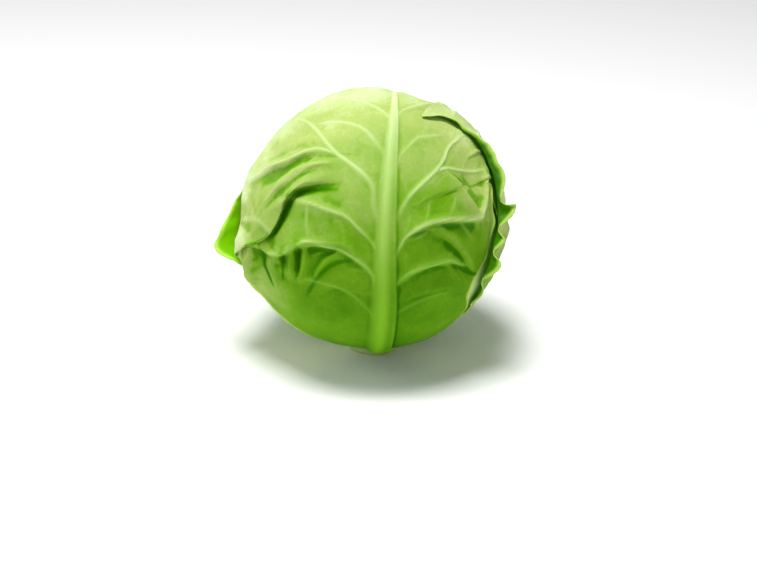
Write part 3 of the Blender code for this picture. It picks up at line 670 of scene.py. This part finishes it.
def makeLeaf(leaf, material):
    axes, seed = leafAxes(leaf["azimuth"]), leaf["seed"]
    under = BVHTree.FromPolygons(laid["points"], laid["faces"])
    row, share = gridOf(leaf)
    x, y, edge, aside = layOut(leaf, row, share)
    height = row / (len(leaf["left"]) - 1)  # 0 at the leaf's base, 1 at its tip
    flat = np.stack((x, y), -1).reshape(-1, 2) * arcLength / mm
    spots = np.stack((flat[:, 0], flat[:, 1] * 0.8, 0 * flat[:, 0] + seed), -1)

    def bumps(kinds, first):
        waves = (tall * unevenness(spots, size, seed + first + k) for k, (tall, size) in enumerate(kinds))
        return sum(waves).reshape(x.shape)

    veins = list(leaf.get("veins") or rowVeins(leaf))
    ridge, pale = (v.reshape(x.shape) for v in drawVeins(flat, veins + branches(leaf, veins)))
    folds = drawFolds(flat, leaf.get("folds", ())).reshape(x.shape)
    # painted shade: the creases are drawn as deeper green lines, as if shade lay in the folds
    paintedShade = [(0.0, width, much, points) for much, width, points in leaf.get("creaseShade", ())]
    creaseShade = drawVeins(flat, paintedShade)[1]
    lower = ease(0.1, 0.35, height)
    beside = ease(0.9, 1.15, np.abs(share)) * lower
    hug = (0.1 + 0.9 * ease(0.0, leafSheet["hugFrom"] * mm, edge)) * (1 - 0.8 * ease(0.85, 1.0, height))
    swell, puckers = bumps(leafSheet["swells"], 0), bumps(leafSheet["puckers"], 2)
    sheet = (leafSheet["rise"] + leafSheet["swelling"] * swell) * hug * lower + (puckers + folds) * beside
    ripple = np.stack((row * 2.6, 0 * row, np.sign(share) + seed), -1).reshape(-1, 3)
    wave = unevenness(ripple, 1.0, seed + 4).reshape(x.shape)
    rim = 1 - ease(0.0, leafSheet["frillFrom"] * mm, edge)
    sheet = sheet * mm + leaf["frill"] * rim * lower * (0.6 + wave)
    ribWidth, ribHeight = midrib(y)
    across = aside / ribWidth
    x, y, lift = roll(leaf, row, share, x, y, edge)
    x, y, sheet = pleat(leaf, x, y, sheet)
    thicker = leafSheet["thicker"] * ease(0.0, leafSheet["thickerFrom"] * mm, edge)
    blade = (leafSheet["marginThickness"] + thicker) * mm
    radius = envelope(axes, under)(x, y) + ball["gap"] + blade + np.maximum(sheet, 0.0) + lift
    rays = direction(axes, x, y)
    points = ballCentre + rays * keepClear(radius, rays, blade, under)[..., None]
    normals = normalsOf(points)
    inner = (points - normals * blade[..., None])[::2, ::2]
    left, right = leaf.get("ribSides", ((0.5, 1.15), (0.5, 1.15)))
    crown = np.where(across < 0, 1 - ease(*left, -across), 1 - ease(*right, across))
    rib = ribHeight * crown * (0.88 + 0.12 * np.exp(-(((across + 0.35) / 0.3) ** 2))) + ridge * mm * beside
    outer = points + normals * rib[..., None]
    relief = (sheet + rib) / mm
    # how far each place lies below or above its surroundings; the material paints shade into hollows and
    # highlight onto crests from this
    hollow = sum((blurred(relief, reach) - relief) / depth for reach, depth in leafSheet["hollows"])
    # a painted highlight along the midrib's left side, the side towards the light
    ribHighlight = 0.75 * np.exp(-(((across + 0.3) / 0.24) ** 2)) * ease(0.15, 0.5, height)
    # painted shade: the midrib's right side, away from the light, takes the blade's deeper green
    shadedRibSide = (0.8 - 0.6 * ease(0.6, 0.85, height)) * ease(-0.2, 0.5, across)  # the midrib's right side
    place = np.concatenate((flat, np.full((len(flat), 1), seed * 10.0)), axis=1)
    facts = {
        "flat": place.reshape(x.shape + (3,)),
        # the veins attribute also carries the painted highlight along the midrib
        "veins": np.maximum(pale * beside, ribHighlight),
        "hollow": np.clip(hollow, -1.5, 1.5),
        "rim": edge / mm,
        "rib": (1 - ease(0.3, 1.5, -across)) * (1 - ease(0.85, 1.1, across)) * (1 - shadedRibSide),
        # the tone holds painted light and shade, and the painted crease shade is taken off it
        "tone": (toneOf(leaf, flat) - creaseShade).reshape(x.shape),
    }
    facts = {fact: bothFaces(grid) for fact, grid in facts.items()}
    facts["inside"] = np.repeat((0.0, 1.0), (row.size, row[::2, ::2].size))
    laidPoints = outer[::2, ::2]
    lay(laidPoints.reshape(-1, 3), quads(*laidPoints.shape[:2]))
    addPiece(leaf["node"] + "_blade", *closedSheet(outer, inner), facts, material, leaf["node"])


def toneOf(leaf, flat):  # from 0, deep green, to 1, pale, from places on the leaf; the values hold painted light and shade as well as the leaf's own colour
    tonesAndShade = np.array(leaf.get("tonesAndShade", ((0, 0, 0.35),)), float)
    away = ((flat[:, None, :] - tonesAndShade[:, :2] * arcLength / mm) ** 2).sum(-1) + 60.0
    weight = away**-1.6
    return (weight * tonesAndShade[:, 2]).sum(axis=1) / weight.sum(axis=1)


heart = {
    "node": "heart",
    "rows": 128,
    "columns": 200,
    "blister": 0.5 * mm,
    "flatBase": 0.05,
    # the margins of its own leaves: how far each leans from the top, and towards where, in degrees
    "margins": ((24.0, 40.0), (30.0, 160.0), (20.0, 285.0)),
    "marginStep": 1.4 * mm,
    "veins": 13,
    "veinHeight": 0.5 * mm,
}


def makeHeart(material):  # the tight inner head, whose own leaves show as long low steps and veins
    rows = np.linspace(0, math.pi, heart["rows"] + 1)[1:-1]
    turns = np.arange(heart["columns"]) * 2 * math.pi / heart["columns"]
    polar, turn = np.meshgrid(rows, turns, indexing="ij")
    rays = np.stack((np.sin(polar) * np.sin(turn), -np.sin(polar) * np.cos(turn), np.cos(polar)), -1)
    rays = np.concatenate((rays.reshape(-1, 3), ((0, 0, 1.0), (0, 0, -1.0))))
    high = rays[:, 2]
    base, top = ease(0.7, 1.0, -high), ease(0.7, 1.0, high)
    radius = ball["radius"] * (1 - heart["flatBase"] * base - (1 - ball["flatTop"]) * top)
    pale = np.zeros(len(rays))
    for lean, turnAt in heart["margins"]:
        ring = rays @ leafAxes(turnAt, lean)[0] + 0.02 * unevenness(rays, 0.3, int(turnAt))
        radius -= heart["marginStep"] * (1 - ease(0.0, 0.5, ring - 0.25)) * ease(0.2, 0.25, ring)
    around = np.arctan2(rays[:, 0], -rays[:, 1])
    for k in range(heart["veins"]):  # they spread from the stem
        off = np.sin((around - k * 2 * math.pi / heart["veins"] - 0.25 * np.sin(2.2 * high + k)) / 2)
        line = np.exp(-((off * 76 / 1.1) ** 2)) * (1 - ease(0.3, 0.85, high))
        radius += heart["veinHeight"] * line
        pale = np.maximum(pale, 0.8 * line)
    radius += heart["blister"] * (unevenness(rays, 0.16, 5) + 0.4 * unevenness(rays, 0.07, 6)) - 0.5 * mm
    points = ballCentre + rays * radius[:, None]
    points[:, 2] = np.maximum(points[:, 2], stemHeight + ball["gap"])
    count, columns = len(rays) - 2, heart["columns"]
    index = np.arange(count).reshape(-1, columns)
    step = np.roll(index, -1, axis=1)
    faces = np.stack((index[:-1], index[1:], step[1:], step[:-1]), -1).reshape(-1, 4).tolist()
    faces += [(count, a, b) for a, b in zip(index[0], step[0])]
    faces += [(count + 1, b, a) for a, b in zip(index[-1], step[-1])]
    lay(points, faces)
    nothing = np.zeros(len(points))
    facts = {
        "flat": rays * 80.0,
        "veins": pale,
        "hollow": nothing,
        "rim": nothing + 40.0,
        "rib": nothing,
        "tone": 0.75 + 0.2 * high,
        "inside": nothing,
    }
    addPiece("heart_leaves", points, faces, facts, material, heart["node"])


stem = {"node": "stem", "sides": 160, "chamfer": 1.2 * mm, "scars": 5, "pits": 0.35 * mm}


def makeStem(material):  # the stump, with its pitted cut face below and the scars of its leaves round it
    sides, height = stem["sides"], stemHeight
    cut = [(r, 0.0) for r in np.linspace(0.04, 1.0 - stem["chamfer"] / stemRadius, 26)]
    side = [(1.0 - 0.07 * t, stem["chamfer"] + (height - stem["chamfer"]) * t) for t in np.linspace(0, 1, 18)]
    lid = [(r, height) for r in np.linspace(0.8, 0.1, 6)]
    profile = np.array(cut + side + lid)
    turn = np.arange(sides) * 2 * math.pi / sides
    share = profile[:, 0][:, None] + 0 * turn
    z = profile[:, 1][:, None] + 0 * turn
    radius = share * stemRadius * (1 + 0.022 * np.cos(stem["scars"] * turn + 0.6) * ease(0.5, 1.0, share))
    ring = np.arange(len(profile))[:, None]
    onSide = (ring >= len(cut)) & (ring < len(cut) + len(side))
    scar = np.exp(-((((z / mm - 4.5 - 1.5 * np.sin(3 * turn)) / 0.7)) ** 2))
    radius -= onSide * 0.5 * mm * scar
    around = np.stack((share * np.cos(turn) * 9, share * np.sin(turn) * 9, z / mm), -1)
    onCut = (ring < len(cut)) * (1 - ease(0.86, 0.93, share))
    z = z + onCut * stem["pits"] * (0.5 + 0.5 * unevenness(around, 0.9, 8))
    points = np.stack((radius * np.cos(turn), radius * np.sin(turn), z), -1).reshape(-1, 3)
    points = np.concatenate((points, ((0, 0, 0.5 * stem["pits"]), (0, 0, height))))
    rings, last = len(profile), len(points)
    index = np.arange(rings * sides).reshape(rings, sides)
    step = np.roll(index, -1, axis=1)
    faces = np.stack((index[:-1], step[:-1], step[1:], index[1:]), -1).reshape(-1, 4).tolist()
    faces += [(last - 2, b, a) for a, b in zip(index[0], step[0])]
    faces += [(last - 1, a, b) for a, b in zip(index[-1], step[-1])]
    facts = {"flat": points / mm, "tone": np.append(share.ravel(), (0.0, 0.0))}
    addPiece("stem_stump", points, faces, facts, material, stem["node"])


class Wire:  # a socket of a material's nodes; sums with it add Math nodes
    def __init__(self, tree, socket=None):
        self.tree, self.socket = tree, socket

    def add(self, kind, settings, values, output=0):  # any other node; a ramp's stops begin with its two ends
        node = self.tree.nodes.new(kind)
        for name, value in settings.items():
            if name == "stops":
                for place, paint in value[2:]:
                    node.color_ramp.elements.new(place).color = (*paint, 1.0)
                ends = node.color_ramp.elements[0], node.color_ramp.elements[-1]
                for element, (place, paint) in zip(ends, value):
                    element.position, element.color = place, (*paint, 1.0)
            else:
                setattr(node, name, value)
        for name, value in values.items():
            if isinstance(value, Wire):
                self.tree.links.new(value.socket, node.inputs[name])
            else:
                node.inputs[name].default_value = value
        return Wire(self.tree, node.outputs[output])

    def math(self, operation, one, two):
        return self.add("ShaderNodeMath", {"operation": operation}, {0: one, 1: two})

    def __add__(self, other):
        return self.math("ADD", self, other)

    def __sub__(self, other):
        return self.math("SUBTRACT", self, other)

    def __rsub__(self, other):
        return self.math("SUBTRACT", other, self)

    def __mul__(self, other):
        return self.math("MULTIPLY", self, other)

    __radd__, __rmul__ = __add__, __mul__

    def over(self, low, high):  # 0 below low, 1 above high, or the other way round
        values = {0: self, 1: min(low, high), 2: max(low, high), 3: float(low > high), 4: float(low < high)}
        return self.add("ShaderNodeMapRange", {"interpolation_type": "SMOOTHSTEP"}, values)

    def mix(self, one, two):  # from one colour to the other
        values = {0: self, 6: one, 7: two}
        return self.add("ShaderNodeMix", {"data_type": "RGBA"}, values, output=2)

    def times(self, factors):  # a place stretched by three factors
        return self.add("ShaderNodeVectorMath", {"operation": "MULTIPLY"}, {0: self, 1: factors})

    def shifted(self, other, much):  # a place moved by another vector
        values = {0: other, 1: (much,) * 3, 2: self}
        return self.add("ShaderNodeVectorMath", {"operation": "MULTIPLY_ADD"}, values)


def shade(red, green, blue):  # a colour as a screen shows it, 0 to 255
    parts = (c / 255 for c in (red, green, blue))
    return tuple(c / 12.92 if c <= 0.04045 else ((c + 0.055) / 1.055) ** 2.4 for c in parts)


def colour(*parts):
    return (*shade(*parts), 1.0)


def startMaterial(name):
    material = bpy.data.materials.new(name)
    material.use_nodes = True
    tree = material.node_tree
    shader = tree.nodes["Principled BSDF"]
    return material, shader, Wire(tree)


leafLook = {
    # grooveShade: painted shade, the darkest green, reached in the deepest creases and hollows
    "grooveShade": (40, 80, 0),
    "deep": (56, 120, 0),
    "middle": (108, 160, 24),
    "light": (170, 191, 103),
    "pale": (216, 235, 182),
    "vein": (200, 221, 152),
    "veinLow": (166, 216, 84),
    # the midrib, from its base to its tip: partly its own colour and partly painted light, paler towards the
    # top
    "rib": ((112, 172, 22), (136, 190, 50), (160, 200, 90), (174, 202, 122), (214, 230, 172)),
    "edge": (186, 218, 100),
    "inside": (98, 168, 8),
    "wax": (214, 230, 190),
}


def leafMaterial(name, changes=()):
    look = dict(leafLook, **dict(changes))
    material, shader, wire = startMaterial(name)
    fact = {
        key: wire.add("ShaderNodeAttribute", {"attribute_name": key}, {}, output="Fac")
        for key in ("veins", "hollow", "rim", "rib", "tone", "inside")
    }
    flat = wire.add("ShaderNodeAttribute", {"attribute_name": "flat"}, {}, output="Vector")

    def noise(scale, detail=3.0, place=flat, output=0):
        values = {"Vector": place, "Scale": scale, "Detail": detail, "Roughness": 0.55}
        return wire.add("ShaderNodeTexNoise", {}, values, output=output)

    bent = flat.shifted(noise(0.11, 2.0, output=1), 5.0)

    def net(size, thin, thick):  # the lines between the cells of a network of small veins
        values = {"Vector": bent, "Scale": 1 / size, "Randomness": 0.9}
        cells = wire.add("ShaderNodeTexVoronoi", {"feature": "DISTANCE_TO_EDGE"}, values, output="Distance")
        return cells.over(thick, thin)

    coarseNet, fineNet = net(6.5, 0.0, 0.13), net(2.6, 0.0, 0.16)
    patches, specks = noise(0.035, 4.0), noise(0.5, 4.0)
    # the tone carries painted light and shade as well as the leaf's own colour
    tone = fact["tone"] + (patches - 0.5) * 0.3 + (specks - 0.5) * 0.12
    lines = (coarseNet * 0.045 + fineNet * 0.02) * noise(0.07, 3.0).over(0.35, 0.65)
    # painted shade: the hollows of the relief are darkened; painted highlight: its crests are lightened a
    # little
    paintedShade, raised = fact["hollow"].over(0.1, 1.5), fact["hollow"].over(-0.3, -1.4)
    level = 0.3 + (tone + lines) * 0.7 - paintedShade * 0.24 + raised * 0.05
    # the ramp runs from the painted shade of the grooves through the blade's greens to pale
    stops = [(0.0, shade(*look["grooveShade"])), (1.0, shade(*look["pale"])), (0.3, shade(*look["deep"]))]
    stops += [(0.51, shade(*look["middle"])), (0.776, shade(*look["light"]))]
    blade = wire.add("ShaderNodeValToRGB", {"stops": stops}, {0: level})
    vein = (tone + fact["veins"] * 0.35).over(0.2, 0.75).mix(colour(*look["veinLow"]), colour(*look["vein"]))
    blade = fact["inside"].mix(blade, colour(*look["inside"]))
    blade = (fact["rim"].over(3.2, 0.6) * 0.8).mix(blade, colour(*look["edge"]))
    grain = noise(0.9, 3.0)
    veins = fact["veins"] * (0.8 + grain * 0.3)
    blade = veins.mix(blade, vein)
    streaks = noise(1.0, 3.0, flat.times((0.9, 0.05, 1.0)))
    # the midrib paler towards the top: partly its own colour, partly painted light
    height = wire.add("ShaderNodeSeparateXYZ", {}, {"Vector": flat}, output="Y") * (1 / 230) + 0.39
    stops = [(place, shade(*paint)) for place, paint in zip((0.0, 0.3, 0.48, 0.66, 0.9), look["rib"])]
    stops = [stops[0], stops[-1], *stops[1:-1]]
    rib = wire.add("ShaderNodeValToRGB", {"stops": stops}, {0: height + (streaks - 0.5) * 0.2})
    blade = (fact["rib"] * (0.9 - fact["inside"] * 0.2)).mix(blade, rib)
    wax = noise(0.05, 5.0).over(0.45, 0.72) * noise(0.35, 3.0).over(0.3, 0.7) * fact["tone"].over(0.2, 0.7)
    blade = (wax * 0.14).mix(blade, colour(*look["wax"]))
    relief = coarseNet * 0.07 + fineNet * 0.03 + grain * 0.05 + noise(2.2, 2.0) * 0.03
    bump = wire.add("ShaderNodeBump", {}, {"Strength": 0.7, "Distance": 0.001, "Height": relief})
    if "glow" in look:  # painted light: the inner face glows, standing in for daylight that comes through the blade
        glow = fact["inside"].mix(colour(0, 0, 0), colour(*look["glow"]))
        wire.tree.links.new(glow.socket, shader.inputs["Emission Color"])
        shader.inputs["Emission Strength"].default_value = 1.0
    wire.tree.links.new(blade.socket, shader.inputs["Base Color"])
    roughness = 0.5 + wax * 0.2 - veins * 0.06 + (specks - 0.5) * 0.12
    wire.tree.links.new(roughness.socket, shader.inputs["Roughness"])
    wire.tree.links.new(bump.socket, shader.inputs["Normal"])
    shader.inputs["Subsurface Weight"].default_value = 0.12
    shader.inputs["Subsurface Radius"].default_value = (0.6, 1.0, 0.25)
    shader.inputs["Subsurface Scale"].default_value = 0.002
    shader.inputs["Specular IOR Level"].default_value = 0.01
    return material


stemLook = {
    "flesh": (232, 232, 196),
    "ring": (206, 214, 150),
    "skin": (190, 208, 130),
    "dry": (196, 180, 130),
}


def stemMaterial(name):
    material, shader, wire = startMaterial(name)
    flat = wire.add("ShaderNodeAttribute", {"attribute_name": "flat"}, {}, output="Vector")
    share = wire.add("ShaderNodeAttribute", {"attribute_name": "tone"}, {}, output="Fac")
    fine = wire.add("ShaderNodeTexNoise", {}, {"Vector": flat, "Scale": 0.9, "Detail": 4.0})
    broad = wire.add("ShaderNodeTexNoise", {}, {"Vector": flat, "Scale": 0.16, "Detail": 3.0})
    cells = {"Vector": flat, "Scale": 0.75, "Randomness": 0.8}
    strands = wire.add("ShaderNodeTexVoronoi", {}, cells, output="Distance")
    wavy = share + (fine - 0.5) * 0.08
    ring = wavy.over(0.55, 0.62) * wavy.over(0.78, 0.68)
    face = (ring * 0.8).mix(colour(*stemLook["flesh"]), colour(*stemLook["ring"]))
    face = (strands.over(0.3, 0.1) * 0.35).mix(face, colour(*stemLook["dry"]))
    face = share.over(0.86, 0.95).mix(face, colour(*stemLook["skin"]))
    face = (broad.over(0.5, 0.75) * 0.6).mix(face, colour(*stemLook["dry"]))
    relief = fine * 0.2 + strands * 0.1
    bump = wire.add("ShaderNodeBump", {}, {"Strength": 0.6, "Distance": 0.001, "Height": relief})
    wire.tree.links.new(face.socket, shader.inputs["Base Color"])
    wire.tree.links.new((0.55 + fine * 0.2).socket, shader.inputs["Roughness"])
    wire.tree.links.new(bump.socket, shader.inputs["Normal"])
    return material


def plainMaterial(name, shown, roughness):
    material, shader, wire = startMaterial(name)
    cloudy = wire.add("ShaderNodeTexNoise", {}, {"Scale": 3.0, "Detail": 2.0})
    face = cloudy.over(0.3, 0.7).mix(colour(*shown), colour(*(c - 1 for c in shown)))
    wire.tree.links.new(face.socket, shader.inputs["Base Color"])
    shader.inputs["Roughness"].default_value = roughness
    return material


makeHeart(leafMaterial("heart_leaf", {"light": (196, 218, 130), "middle": (170, 200, 96)}))
makeStem(stemMaterial("stem_flesh"))
makeLeaf(backLeaf, leafMaterial("back_leaf_green"))
makeLeaf(frontLeaf, leafMaterial("front_leaf_green"))
# painted light: the left leaf's inner face glows, standing in for light through the blade
makeLeaf(leftLeaf, leafMaterial("left_leaf_green", {"glow": (76, 106, 0)}))
# the right leaf's inner face is painted darker green for the shade under its rolled margin, and glows a
# little: painted light
makeLeaf(rightLeaf, leafMaterial("right_leaf_green", {"inside": (56, 112, 0), "glow": (34, 72, 0)}))
print("all pieces made")

studio = {
    "floor": (252, 252, 252),
    "world": 0.26,
    # size, power, and where each lamp stands
    "lamps": (
        ("key_light", 0.6, 24.0, (-0.15, -0.15, 1.5)),
        ("side_light", 0.7, 5.0, (-1.35, 0.1, 0.6)),
        ("fill_light", 1.4, 3.5, (1.0, -1.2, 0.8)),
    ),
}
eye = {
    "target": (0.0, 0.0, 0.081),
    "distance": 1.08,
    "elevation": 22.0,
    "lens": 85.0,
    # how far the view is turned from the target
    "aside": -0.00252,
    "above": -0.0333,
}

floorMesh = bpy.data.meshes.new("floor")
floorMesh.from_pydata([(-4, -4, 0), (4, -4, 0), (4, 4, 0), (-4, 4, 0)], [], [(0, 1, 2, 3)])
floorMesh.materials.append(plainMaterial("floor_white", studio["floor"], 0.9))
floor = bpy.data.objects.new("floor", floorMesh)
bpy.context.scene.collection.objects.link(floor)

world = bpy.data.worlds.new("studio")
world.use_nodes = True
world.node_tree.nodes["Background"].inputs["Color"].default_value = (1.0, 1.0, 1.0, 1.0)
world.node_tree.nodes["Background"].inputs["Strength"].default_value = studio["world"]
bpy.context.scene.world = world
bpy.context.scene.view_settings.view_transform = "Standard"

target = Vector(eye["target"])
for name, size, power, place in studio["lamps"]:
    lamp = bpy.data.lights.new(name, "AREA")
    lamp.size, lamp.energy = size, power
    lampObject = bpy.data.objects.new(name, lamp)
    lampObject.location = place
    lampObject.rotation_euler = (target - Vector(place)).to_track_quat("-Z", "Y").to_euler()
    bpy.context.scene.collection.objects.link(lampObject)

camera = bpy.data.cameras.new("camera")
camera.lens, camera.sensor_width = eye["lens"], 36.0
cameraObject = bpy.data.objects.new("camera", camera)
bpy.context.scene.collection.objects.link(cameraObject)
bpy.context.scene.camera = cameraObject
rise = math.radians(eye["elevation"])
forward = Vector((0.0, math.cos(rise), -math.sin(rise)))
upward = Vector((0.0, math.sin(rise), math.cos(rise)))
look = (forward - eye["aside"] * Vector((1, 0, 0)) + eye["above"] * upward).normalized()
cameraObject.location = target - forward * eye["distance"]
cameraObject.rotation_euler = look.to_track_quat("-Z", "Y").to_euler()
print("floor, lamps and camera set")
